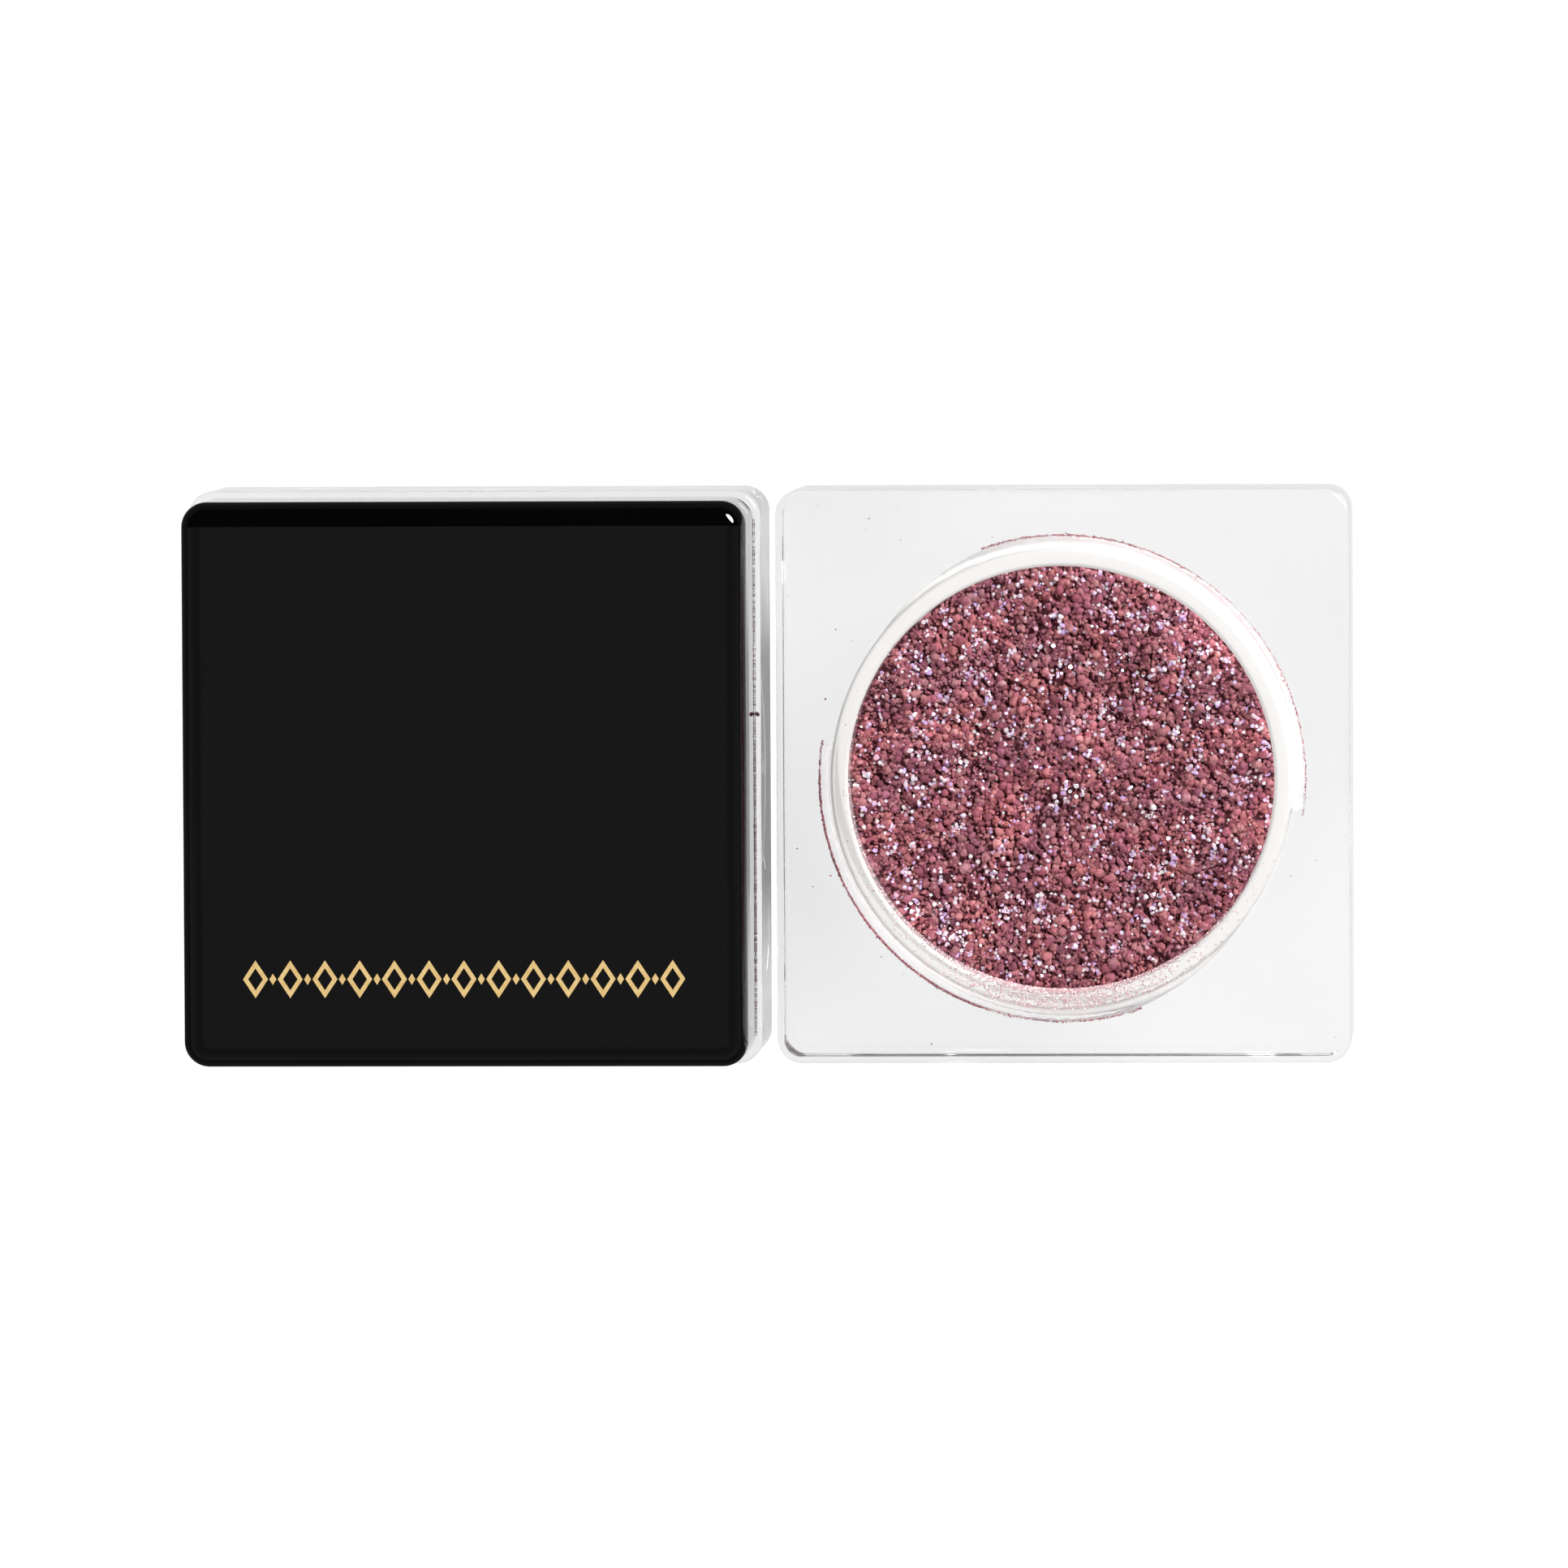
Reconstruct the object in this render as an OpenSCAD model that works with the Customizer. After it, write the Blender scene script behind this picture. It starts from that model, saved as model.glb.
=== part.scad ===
// A pair of square clear jars of loose glitter pigment, each with a round threaded cup in a solid
// acrylic block. The left jar is closed with a square screw lid. The right jar stands open.
// X runs from the closed jar to the open one, and Z = 0 is the surface that both stand on.

/* [Jar] */
// Side of the square acrylic block
jar_w = 46; // [44:0.5:50]
// Height of the acrylic block
jar_h = 14; // [13:0.5:16]
// Radius of the block's four upright corners
jar_corner_r = 2; // [1:0.25:3]
// Radius along the block's top and bottom edges
jar_edge_r = 0.6; // [0.3:0.1:0.9]
// Distance between the two jars' centre lines
jar_pitch = 47.2; // [47:0.1:60]

/* [Cup] */
// Inner radius of the cup
cup_inner_r = 17; // [15:0.1:17.4]
// Thickness of the cup's wall
cup_wall = 1.4; // [1:0.1:1.6]
// Thickness of the cup's floor
cup_floor_t = 1.2; // [0.8:0.1:2]
// Height of the block's pocket floor above the table
pocket_z = 3; // [2:0.5:4]
// How far the cup's neck stands above the block
neck_h = 4.5; // [4.3:0.1:6]
// Depth of the pigment's surface below the rim
pigment_drop = 4.4; // [4.2:0.1:6]

/* [Thread] */
// Number of separate ridges on the neck
thread_starts = 2; // [1:1:2]
// Rise of the lid in one full turn
thread_lead = 6; // [5:0.5:7]
// Angle that each ridge covers
thread_sweep = 150; // [90:5:160]
// Angle over which a ridge tapers away at its upper end
thread_taper = 36; // [20:2:60]
// Angle of the first ridge's blunt lower end
thread_from = -9; // [-30:1:30]
// How far the neck's ridge stands out from the wall
neck_ridge = 1; // [0.6:0.05:1]
// Height of a ridge where it meets the wall
ridge_root_w = 1.2; // [0.8:0.1:1.3]
// Height of a ridge along its crest
ridge_crest_w = 0.5; // [0.3:0.1:0.7]

/* [Lid] */
// Side of the square lid
lid_w = 45; // [43:0.5:46]
// Height of the lid
lid_h = 12; // [11:0.5:14]
// Radius of the lid's corners and of its top edges
lid_r = 2; // [1:0.25:3]
// Thickness of the lid's side walls
lid_wall = 1.5; // [1:0.1:1.6]
// Thickness of the lid's top
lid_top_t = 2; // [1.5:0.1:3]
// Gap between the lid's lower edge and the block
lid_seam = 0.15; // [0.1:0.05:0.3]
// Thickness of the sealing disc
seal_t = 1; // [0.6:0.1:1.4]
// Thickness of the liner's walls
liner_wall = 1.1; // [0.8:0.1:1.2]

/* [Ornament] */
// Length of the foil ornament
ornament_l = 36; // [20:1:40]
// Height of the foil ornament
ornament_h = 3; // [2:0.25:5]
// Distance from the lid's centre to the ornament's centre line
ornament_y = 15.4; // [10:0.2:17]
// Number of large lozenges in the row
lozenges = 13; // [5:2:17]
// Width of the foil's lines
foil_line = 0.34; // [0.2:0.02:0.5]
// Thickness of the foil
foil_t = 0.05; // [0.04:0.01:0.1]

/* [Hidden] */
closed_x = -jar_pitch / 2;
open_x = jar_pitch / 2;
// Heights above the table
cup_floor_z = pocket_z + cup_floor_t;
rim_z = jar_h + neck_h;
pigment_z = rim_z - pigment_drop;
lid_z = jar_h + lid_seam;
lid_top_z = lid_z + lid_h;
lid_ceiling_z = lid_top_z - lid_top_t;
liner_recess = 0.2;
liner_z = lid_z + liner_recess;
liner_ceiling_z = rim_z + seal_t;
liner_plate_t = 1.3;
liner_flange_t = 1.2;
// Radii around each jar's centre line
seat_gap = 0.05;
cup_outer_r = cup_inner_r + cup_wall;
neck_crest_r = cup_outer_r + neck_ridge;
thread_gap = 0.25;
liner_bore_r = neck_crest_r + thread_gap + seat_gap;
liner_crest_r = cup_outer_r + thread_gap;
liner_outer_r = liner_bore_r + liner_wall;
seal_r = liner_bore_r - seat_gap;
rim_round_r = 0.35;
ridge_embed = 0.3;
// The liner's square flange, ribs and the shell's inside
shell_inside_w = lid_w - 2 * lid_wall;
shell_inside_r = lid_r - lid_wall;
flange_gap = 0.2;
flange_w = shell_inside_w - 2 * flange_gap;
rib_t = 1.2;
// Height between one ridge and the next above it
thread_pitch = thread_lead / thread_starts;
neck_ridge_lift = 1.2;
neck_ridge_z = jar_h + neck_ridge_lift;
lid_ridge_lag = 80;
// Shares of a ridge's full height and width that are left at its tapered end
ridge_end_h = 0.12;
ridge_end_w = 0.4;
// Shares of the ornament's pitch and height that its lozenges and beads take
frame_w_share = 0.72;
bead_w_share = 0.2;
bead_h_share = 0.3;
// Overlap where solids are cut or joined
overlap = 1;
step_angle = 6;
round_fn = 128;
hull_fn = 32;

// Outline of one rounded column: a corner radius r, with edges of radius e at the chosen ends.
function arc_points(cx, cy, r, from, to, n = 8) =
  [for (i = [0:n]) let (a = from + (to - from) * i / n) [cx + r * cos(a), cy + r * sin(a)]];

module corner_column(r, h, edge_bottom, edge_top) {
  foot = edge_bottom > 0 ? arc_points(r - edge_bottom, edge_bottom, edge_bottom, -90, 0) : [[r, 0]];
  head = edge_top > 0 ? arc_points(r - edge_top, h - edge_top, edge_top, 0, 90) : [[r, h]];
  rotate_extrude($fn = hull_fn)
    polygon(concat([[0, 0]], foot, head, [[0, h]]));
}

// A square block of side w and height h with rounded corners and edges.
module rounded_block(w, h, r, edge_bottom = 0, edge_top = 0) {
  hull()
    for (x = [-1, 1], y = [-1, 1])
      translate([x * (w / 2 - r), y * (w / 2 - r), 0])
        corner_column(r, h, edge_bottom, edge_top);
}

// How much of a ridge's full height is left at a share t of its sweep.
function ridge_share(t) =
  let (left = (1 - t) * thread_sweep / thread_taper)
    ridge_end_h + (1 - ridge_end_h) * min(1, left);

// One cross-section of a ridge, from its root at root_r to its crest, side +1 outwards, -1 inwards.
function ridge_section(a, z, root_r, crest_r, share) =
  let (
    side = sign(crest_r - root_r),
    base = root_r - side * ridge_embed,
    tip = root_r + (crest_r - root_r) * share,
    width_share = ridge_end_w + (1 - ridge_end_w) * share,
    half_root = ridge_root_w / 2 * width_share,
    half_tip = ridge_crest_w / 2 * width_share,
    near = side > 0 ? base : tip,
    far = side > 0 ? tip : base,
    half_near = side > 0 ? half_root : half_tip,
    half_far = side > 0 ? half_tip : half_root
  ) [
    [near * cos(a), near * sin(a), z - half_near],
    [far * cos(a), far * sin(a), z - half_far],
    [far * cos(a), far * sin(a), z + half_far],
    [near * cos(a), near * sin(a), z + half_near]
  ];

// A helical ridge that climbs anticlockwise from angle a0 and height z0.
module ridge(a0, z0, root_r, crest_r) {
  n = ceil(thread_sweep / step_angle);
  points = [
    for (i = [0:n])
      let (t = i / n, a = a0 + thread_sweep * t)
        each ridge_section(a, z0 + thread_lead * thread_sweep * t / 360, root_r, crest_r, ridge_share(t))
  ];
  sides = [
    for (i = [0:n - 1], k = [0:3])
      let (p = 4 * i, q = (k + 1) % 4)
        each [[p + k, p + 4 + q, p + 4 + k], [p + k, p + q, p + 4 + q]]
  ];
  last = 4 * n;
  ends = [[0, 2, 1], [0, 3, 2], [last, last + 1, last + 2], [last, last + 2, last + 3]];
  polyhedron(points, concat(sides, ends));
}

module ridges(lag, root_r, crest_r) {
  for (i = [0:thread_starts - 1])
    ridge(
      thread_from + lag + 360 / thread_starts * i,
      neck_ridge_z + (lag > 0 ? thread_lead * lag / 360 - thread_pitch / 2 : 0),
      root_r, crest_r
    );
}

// Solid acrylic block with a round pocket for the cup.
module jar_body(x) {
  color("#EEF0F2", 0.35)
    translate([x, 0, 0])
      difference() {
        rounded_block(jar_w, jar_h, jar_corner_r, jar_edge_r, jar_edge_r);
        translate([0, 0, pocket_z])
          cylinder(h = jar_h, r = cup_outer_r + seat_gap, $fn = round_fn);
      }
}

// Round cup whose threaded neck stands above the block.
module jar_cup(x) {
  color("#F5F5F0", 0.45)
    translate([x, 0, 0]) {
      rotate_extrude($fn = round_fn)
        polygon(concat(
          [[0, pocket_z], [cup_outer_r, pocket_z]],
          arc_points(cup_outer_r - rim_round_r, rim_z - rim_round_r, rim_round_r, 0, 90, 4),
          arc_points(cup_inner_r + rim_round_r, rim_z - rim_round_r, rim_round_r, 90, 180, 4),
          [[cup_inner_r, cup_floor_z], [0, cup_floor_z]]
        ));
      ridges(0, cup_outer_r, neck_crest_r);
    }
}

// Loose pigment filling the cup.
module pigment(x) {
  color("#9B5A66")
    translate([x, 0, cup_floor_z])
      cylinder(h = pigment_z - cup_floor_z, r = cup_inner_r - seat_gap, $fn = round_fn);
}

module closed_jar_body() { jar_body(closed_x); }
module closed_jar_cup() { jar_cup(closed_x); }
module closed_jar_pigment() { pigment(closed_x); }
module open_jar_body() { jar_body(open_x); }
module open_jar_cup() { jar_cup(open_x); }
module open_jar_pigment() { pigment(open_x); }

// Glossy outer shell of the lid, open below.
module lid_shell() {
  color("#101010")
    translate([closed_x, 0, lid_z])
      difference() {
        rounded_block(lid_w, lid_h, lid_r, 0, lid_r);
        translate([0, 0, -overlap])
          rounded_block(shell_inside_w, lid_h - lid_top_t + overlap, shell_inside_r);
      }
}

// Threaded liner with a square flange below and crossed ribs above its plate.
module lid_liner() {
  plate_top_z = liner_ceiling_z + liner_plate_t;
  color("#181818")
    translate([closed_x, 0, 0]) {
      difference() {
        union() {
          translate([-flange_w / 2, -flange_w / 2, liner_z])
            cube([flange_w, flange_w, liner_flange_t]);
          translate([0, 0, liner_z])
            cylinder(h = plate_top_z - liner_z, r = min(liner_outer_r, flange_w / 2), $fn = round_fn);
          for (a = [0, 90])
            rotate(a)
              translate([-flange_w / 2 + liner_wall, -rib_t / 2, plate_top_z - overlap])
                cube([flange_w - 2 * liner_wall, rib_t, lid_ceiling_z - plate_top_z + overlap]);
        }
        translate([0, 0, liner_z - overlap])
          cylinder(h = liner_ceiling_z - liner_z + overlap, r = liner_bore_r, $fn = round_fn);
      }
      ridges(lid_ridge_lag, liner_bore_r, liner_crest_r);
    }
}

// Foam disc that the rim presses against.
module lid_seal() {
  color("#F2F0EA")
    translate([closed_x, 0, rim_z])
      cylinder(h = seal_t, r = seal_r, $fn = round_fn);
}

// A lozenge of width w and height h.
module lozenge(w, h) {
  polygon([[w / 2, 0], [0, h / 2], [-w / 2, 0], [0, -h / 2]]);
}

// The same lozenge as an open frame of the foil's line width.
module lozenge_frame(w, h) {
  slope = foil_line * sqrt(w * w + h * h);
  difference() {
    lozenge(w, h);
    lozenge(w - 2 * slope / h, h - 2 * slope / w);
  }
}

// Row of foil lozenges along the front of the lid's top.
module lid_ornament() {
  pitch = ornament_l / lozenges;
  color("#E8C778")
    translate([closed_x, -ornament_y, lid_top_z])
      linear_extrude(foil_t) {
        for (i = [0:lozenges - 1])
          translate([(i - (lozenges - 1) / 2) * pitch, 0])
            lozenge_frame(pitch * frame_w_share, ornament_h);
        for (i = [0:lozenges - 2])
          translate([(i - (lozenges - 2) / 2) * pitch, 0])
            lozenge(pitch * bead_w_share, ornament_h * bead_h_share);
      }
}

closed_jar_body();
closed_jar_cup();
closed_jar_pigment();
lid_shell();
lid_liner();
lid_seal();
lid_ornament();
open_jar_body();
open_jar_cup();
open_jar_pigment();
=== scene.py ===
"""A closed and an open square jar of loose eyeshadow pigment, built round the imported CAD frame."""
import math

import bmesh
import bpy
import numpy as np
from mathutils import Matrix, Vector, kdtree


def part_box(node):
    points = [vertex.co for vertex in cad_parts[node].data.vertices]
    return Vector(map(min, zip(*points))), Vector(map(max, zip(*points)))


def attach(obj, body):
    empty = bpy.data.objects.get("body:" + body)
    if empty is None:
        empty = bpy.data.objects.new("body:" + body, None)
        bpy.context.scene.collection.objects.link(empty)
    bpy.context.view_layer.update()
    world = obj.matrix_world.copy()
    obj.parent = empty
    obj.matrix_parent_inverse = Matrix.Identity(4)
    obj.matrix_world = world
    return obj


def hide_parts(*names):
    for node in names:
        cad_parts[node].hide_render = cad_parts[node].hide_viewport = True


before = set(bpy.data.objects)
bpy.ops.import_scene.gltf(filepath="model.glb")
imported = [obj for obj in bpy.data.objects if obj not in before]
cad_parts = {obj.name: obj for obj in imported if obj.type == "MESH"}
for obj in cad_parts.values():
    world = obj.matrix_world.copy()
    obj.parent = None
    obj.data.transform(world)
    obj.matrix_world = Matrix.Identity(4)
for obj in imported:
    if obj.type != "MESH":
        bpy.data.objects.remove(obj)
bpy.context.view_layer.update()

MM = 0.001
JARS = ("closed_jar", "open_jar")

# Sizes that the CAD nodes' boxes don't give, in metres.
BLOCK_CORNER = 2.0 * MM
BLOCK_EDGE = 0.6 * MM
POCKET_Z = 3.0 * MM
POCKET_ROUND = 0.15 * MM
SEAT_GAP = 0.05 * MM
CUP_REST = 0.03 * MM
CUP_INNER_R = 17.0 * MM
CUP_WALL = 1.4 * MM
CUP_FLOOR = 1.2 * MM
CUP_OUTER_R = CUP_INNER_R + CUP_WALL
CUP_FLOOR_ROUND = 0.15 * MM
RIM_ROUND = 0.35 * MM
LID_ROUND = 2.0 * MM
LID_FOOT_ROUND = 0.15 * MM
LID_WALL = 1.5 * MM
LID_TOP = 2.0 * MM
LID_INSIDE_CORNER = 0.5 * MM

# The two-start thread on the neck.
THREAD_STARTS = 2
THREAD_LEAD = 6.0 * MM
THREAD_SWEEP = math.radians(150)
THREAD_TAPER = math.radians(36)
THREAD_FROM = math.radians(-9)
THREAD_RIDGE = 1.0 * MM
THREAD_ROOT_W = 1.2 * MM
THREAD_CREST_W = 0.5 * MM
THREAD_START_Z = 1.2 * MM
# Share of a ridge's width that is left at its tapered end.
THREAD_END_W = 0.4

block_low, block_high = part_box("open_jar_body")
cup_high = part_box("open_jar_cup")[1]
powder_low, powder_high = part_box("open_jar_pigment")
lid_low, lid_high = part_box("lid_shell")
BLOCK_HALF = (block_high.x - block_low.x) / 2
BLOCK_TOP = block_high.z
RIM_Z = cup_high.z
POWDER_Z = powder_high.z
POWDER_FLOOR = powder_low.z
LID_HALF = (lid_high.x - lid_low.x) / 2


def centre(node):
    """The middle of a CAD node's footprint, on the table."""
    low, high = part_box(node)
    return Vector(((low.x + high.x) / 2, (low.y + high.y) / 2, 0))


JAR_CENTRE = {jar: centre(jar + "_body") for jar in JARS}


# ---- materials ----

CUP_TINT = (0.97, 0.97, 0.975)
NECK_TINT = (0.76, 0.745, 0.73)
CUP_CLARITY = 0.99
NECK_CLARITY = 0.3
# Half the height over which the clear cup turns into the milky neck.
NECK_BLEND = 0.6 * MM


def new_material(name):
    """A node material, with its nodes, links and main shader."""
    mat = bpy.data.materials.new(name)
    mat.use_nodes = True
    nodes = mat.node_tree.nodes
    shader = nodes["Principled BSDF"]
    return mat, nodes, mat.node_tree.links, shader


def noise(nodes, links, scale, detail=3.0, roughness=0.5):
    """A noise texture in the piece's own space, in metres."""
    coords = nodes.new("ShaderNodeTexCoord")
    tex = nodes.new("ShaderNodeTexNoise")
    tex.inputs["Scale"].default_value = scale
    tex.inputs["Detail"].default_value = detail
    tex.inputs["Roughness"].default_value = roughness
    links.new(coords.outputs["Object"], tex.inputs["Vector"])
    return tex.outputs["Fac"]


def ramp(nodes, links, value, stops):
    """Maps a value to colours. stops is a list of (position, colour)."""
    node = nodes.new("ShaderNodeValToRGB")
    elements = node.color_ramp.elements
    while len(elements) < len(stops):
        elements.new(0.5)
    for element, (position, colour) in zip(elements, stops):
        element.position = position
        element.color = (*colour, 1)
    links.new(value, node.inputs["Fac"])
    return node.outputs["Color"]


def math_node(nodes, links, operation, *values):
    """A maths node. Each value is a socket or a number."""
    node = nodes.new("ShaderNodeMath")
    node.operation = operation
    for socket, value in zip(node.inputs, values):
        if isinstance(value, (int, float)):
            socket.default_value = value
        else:
            links.new(value, socket)
    return node.outputs["Value"]


def map_range(nodes, links, value, source, target):
    """Maps the span source of a value to the span target, clamped at both ends."""
    node = nodes.new("ShaderNodeMapRange")
    node.inputs["From Min"].default_value, node.inputs["From Max"].default_value = source
    node.inputs["To Min"].default_value, node.inputs["To Max"].default_value = target
    links.new(value, node.inputs["Value"])
    return node.outputs["Result"]


def grey(level):
    """A grey of the given linear level."""
    return (level, level, level)


def bump(nodes, links, shader, value, strength, distance):
    """Fine relief from a value."""
    node = nodes.new("ShaderNodeBump")
    node.inputs["Strength"].default_value = strength
    node.inputs["Distance"].default_value = distance
    links.new(value, node.inputs["Height"])
    links.new(node.outputs["Normal"], shader.inputs["Normal"])


def clear_plastic(name, tint, ior, clarity, smear):
    """Polished clear plastic. Lamps shine through it, so what stands behind it stays lit."""
    mat, nodes, links, shader = new_material(name)
    shader.inputs["IOR"].default_value = ior
    shader.inputs["Transmission Weight"].default_value = clarity
    paler = tuple(0.5 + 0.5 * channel for channel in tint)
    links.new(ramp(nodes, links, noise(nodes, links, 60, 2), [(0.3, tint), (0.75, paler)]),
              shader.inputs["Base Color"])
    handling = noise(nodes, links, 900, 6, 0.7)
    marks = ramp(nodes, links, handling, [(0.45, grey(0.0)), (0.8, grey(smear))])
    links.new(marks, shader.inputs["Roughness"])
    bump(nodes, links, shader, noise(nodes, links, 250, 2), 0.01, 0.02 * MM)
    light_path = nodes.new("ShaderNodeLightPath")
    through = nodes.new("ShaderNodeBsdfTransparent")
    through.inputs["Color"].default_value = (0.93, 0.93, 0.94, 1)
    mix = nodes.new("ShaderNodeMixShader")
    links.new(light_path.outputs["Is Shadow Ray"], mix.inputs["Fac"])
    links.new(shader.outputs["BSDF"], mix.inputs[1])
    links.new(through.outputs["BSDF"], mix.inputs[2])
    links.new(mix.outputs["Shader"], nodes["Material Output"].inputs["Surface"])
    return mat


def cup_plastic():
    """Clear inside the block and in the thin ridges of the thread, and milky along the neck."""
    mat = clear_plastic("cup_clear", CUP_TINT, 1.47, CUP_CLARITY, 0.05)
    nodes, links = mat.node_tree.nodes, mat.node_tree.links
    shader = nodes["Principled BSDF"]
    coords = nodes.new("ShaderNodeTexCoord")
    split = nodes.new("ShaderNodeSeparateXYZ")
    links.new(coords.outputs["Object"], split.inputs["Vector"])
    blend = (BLOCK_TOP - NECK_BLEND, BLOCK_TOP + NECK_BLEND)
    neck = map_range(nodes, links, split.outputs["Z"], blend, (0, 1))
    across = math_node(nodes, links, "MULTIPLY", split.outputs["X"], split.outputs["X"])
    across = math_node(nodes, links, "MULTIPLY_ADD", split.outputs["Y"], split.outputs["Y"], across)
    radius = math_node(nodes, links, "SQRT", across)
    ridge = (CUP_OUTER_R + 0.15 * MM, CUP_OUTER_R + 0.5 * MM)
    share = math_node(nodes, links, "MULTIPLY", neck, map_range(nodes, links, radius, ridge, (1, 0.15)))
    clarity = [(0, grey(CUP_CLARITY)), (1, grey(NECK_CLARITY))]
    links.new(ramp(nodes, links, share, [(0, CUP_TINT), (1, NECK_TINT)]), shader.inputs["Base Color"])
    links.new(ramp(nodes, links, share, clarity), shader.inputs["Transmission Weight"])
    return mat


def lid_gloss():
    """Piano-black gloss with faint wipe marks."""
    mat, nodes, links, shader = new_material("lid_black")
    shader.inputs["IOR"].default_value = 1.5
    blacks = [(0.3, (0.0006, 0.0006, 0.0007)), (0.7, (0.0014, 0.0012, 0.0012))]
    links.new(ramp(nodes, links, noise(nodes, links, 40, 3), blacks), shader.inputs["Base Color"])
    wipes = noise(nodes, links, 700, 8, 0.75)
    sheen = [(0.4, grey(0.015)), (0.85, grey(0.07))]
    links.new(ramp(nodes, links, wipes, sheen), shader.inputs["Roughness"])
    bump(nodes, links, shader, noise(nodes, links, 90, 2), 0.02, 0.01 * MM)
    return mat


def liner_plastic():
    """Satin black moulded plastic."""
    mat, nodes, links, shader = new_material("liner_black")
    blacks = [(0.3, (0.012, 0.012, 0.013)), (0.7, (0.02, 0.02, 0.021))]
    links.new(ramp(nodes, links, noise(nodes, links, 120, 4), blacks), shader.inputs["Base Color"])
    links.new(ramp(nodes, links, noise(nodes, links, 1500, 4), [(0.3, grey(0.32)), (0.7, grey(0.48))]),
              shader.inputs["Roughness"])
    bump(nodes, links, shader, noise(nodes, links, 3000, 3), 0.15, 0.02 * MM)
    return mat


def seal_foam():
    """Off-white foam with fine pores."""
    mat, nodes, links, shader = new_material("seal_foam")
    creams = [(0.3, (0.66, 0.63, 0.56)), (0.65, (0.86, 0.84, 0.78))]
    links.new(ramp(nodes, links, noise(nodes, links, 2500, 3), creams), shader.inputs["Base Color"])
    shader.inputs["Roughness"].default_value = 0.9
    bump(nodes, links, shader, noise(nodes, links, 3500, 4, 0.7), 0.5, 0.06 * MM)
    return mat


def foil_gold():
    """Hot-stamped foil: warm gold with a fine grain."""
    mat, nodes, links, shader = new_material("foil_gold")
    golds = [(0.3, (0.78, 0.52, 0.19)), (0.7, (0.93, 0.68, 0.32))]
    links.new(ramp(nodes, links, noise(nodes, links, 1800, 4, 0.6), golds), shader.inputs["Base Color"])
    shader.inputs["Metallic"].default_value = 0.35
    links.new(ramp(nodes, links, noise(nodes, links, 3000, 3), [(0.3, grey(0.3)), (0.7, grey(0.5))]),
              shader.inputs["Roughness"])
    bump(nodes, links, shader, noise(nodes, links, 4000, 3), 0.2, 0.01 * MM)
    return mat


def grain_colour(nodes):
    """The colour that each grain carries in its mesh."""
    node = nodes.new("ShaderNodeAttribute")
    node.attribute_name = "grain"
    return node


def pigment_powder():
    """Matte crumbs whose own colour comes from the grain attribute, with finer mottling on top."""
    mat, nodes, links, shader = new_material("pigment")
    grain = grain_colour(nodes)
    mottle = ramp(nodes, links, noise(nodes, links, 3800, 5, 0.7), [(0.3, grey(0.62)), (0.7, grey(1.18))])
    mix = nodes.new("ShaderNodeMix")
    mix.data_type = "RGBA"
    mix.blend_type = "MULTIPLY"
    mix.inputs["Factor"].default_value = 1.0
    links.new(grain.outputs["Color"], mix.inputs["A"])
    links.new(mottle, mix.inputs["B"])
    links.new(mix.outputs["Result"], shader.inputs["Base Color"])
    links.new(ramp(nodes, links, noise(nodes, links, 5000, 2), [(0.35, grey(0.6)), (0.7, grey(0.95))]),
              shader.inputs["Roughness"])
    shader.inputs["Specular IOR Level"].default_value = 0.2
    bump(nodes, links, shader, noise(nodes, links, 6500, 5, 0.75), 1.0, 0.12 * MM)
    return mat


def glitter_flakes():
    """Pearly flakes: each one's tint comes from the grain attribute."""
    mat, nodes, links, shader = new_material("glitter")
    grain = grain_colour(nodes)
    links.new(grain.outputs["Color"], shader.inputs["Base Color"])
    shader.inputs["Metallic"].default_value = 0.4
    links.new(ramp(nodes, links, noise(nodes, links, 4000, 2), [(0.3, grey(0.16)), (0.7, grey(0.34))]),
              shader.inputs["Roughness"])
    return mat


# ---- hard pieces ----

# Steps along a square's side, round its corner and over its rounded edge.
SIDE_STEPS = 48
CORNER_STEPS = 12
EDGE_STEPS = 8
# Points round the cup, and rings up its neck.
CUP_POINTS = 720
NECK_RINGS = 62


def square_outline(half, corner):
    """Points round a square with rounded corners, anticlockwise."""
    points = []
    for quarter in range(4):
        turn = quarter * math.pi / 2
        arc = [(half - corner + corner * math.cos(a), half - corner + corner * math.sin(a))
               for a in np.linspace(0, math.pi / 2, CORNER_STEPS + 1)]
        side = [(x, half) for x in np.linspace(half - corner, corner - half, SIDE_STEPS + 1)[1:-1]]
        c, s = math.cos(turn), math.sin(turn)
        for x, y in arc + side:
            points.append((x * c - y * s, x * s + y * c))
    return np.array(points)


def circle_outline(radius, angles):
    """Points round a circle at the given angles. The radius may differ from point to point."""
    return np.stack([radius * np.cos(angles), radius * np.sin(angles)], 1)


def edge_round(radius, from_angle, to_angle, steps=EDGE_STEPS):
    """(inset, drop) pairs along a quarter-round edge."""
    return [(radius - radius * math.cos(a), radius - radius * math.sin(a))
            for a in np.linspace(from_angle, to_angle, steps + 1)]


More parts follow.
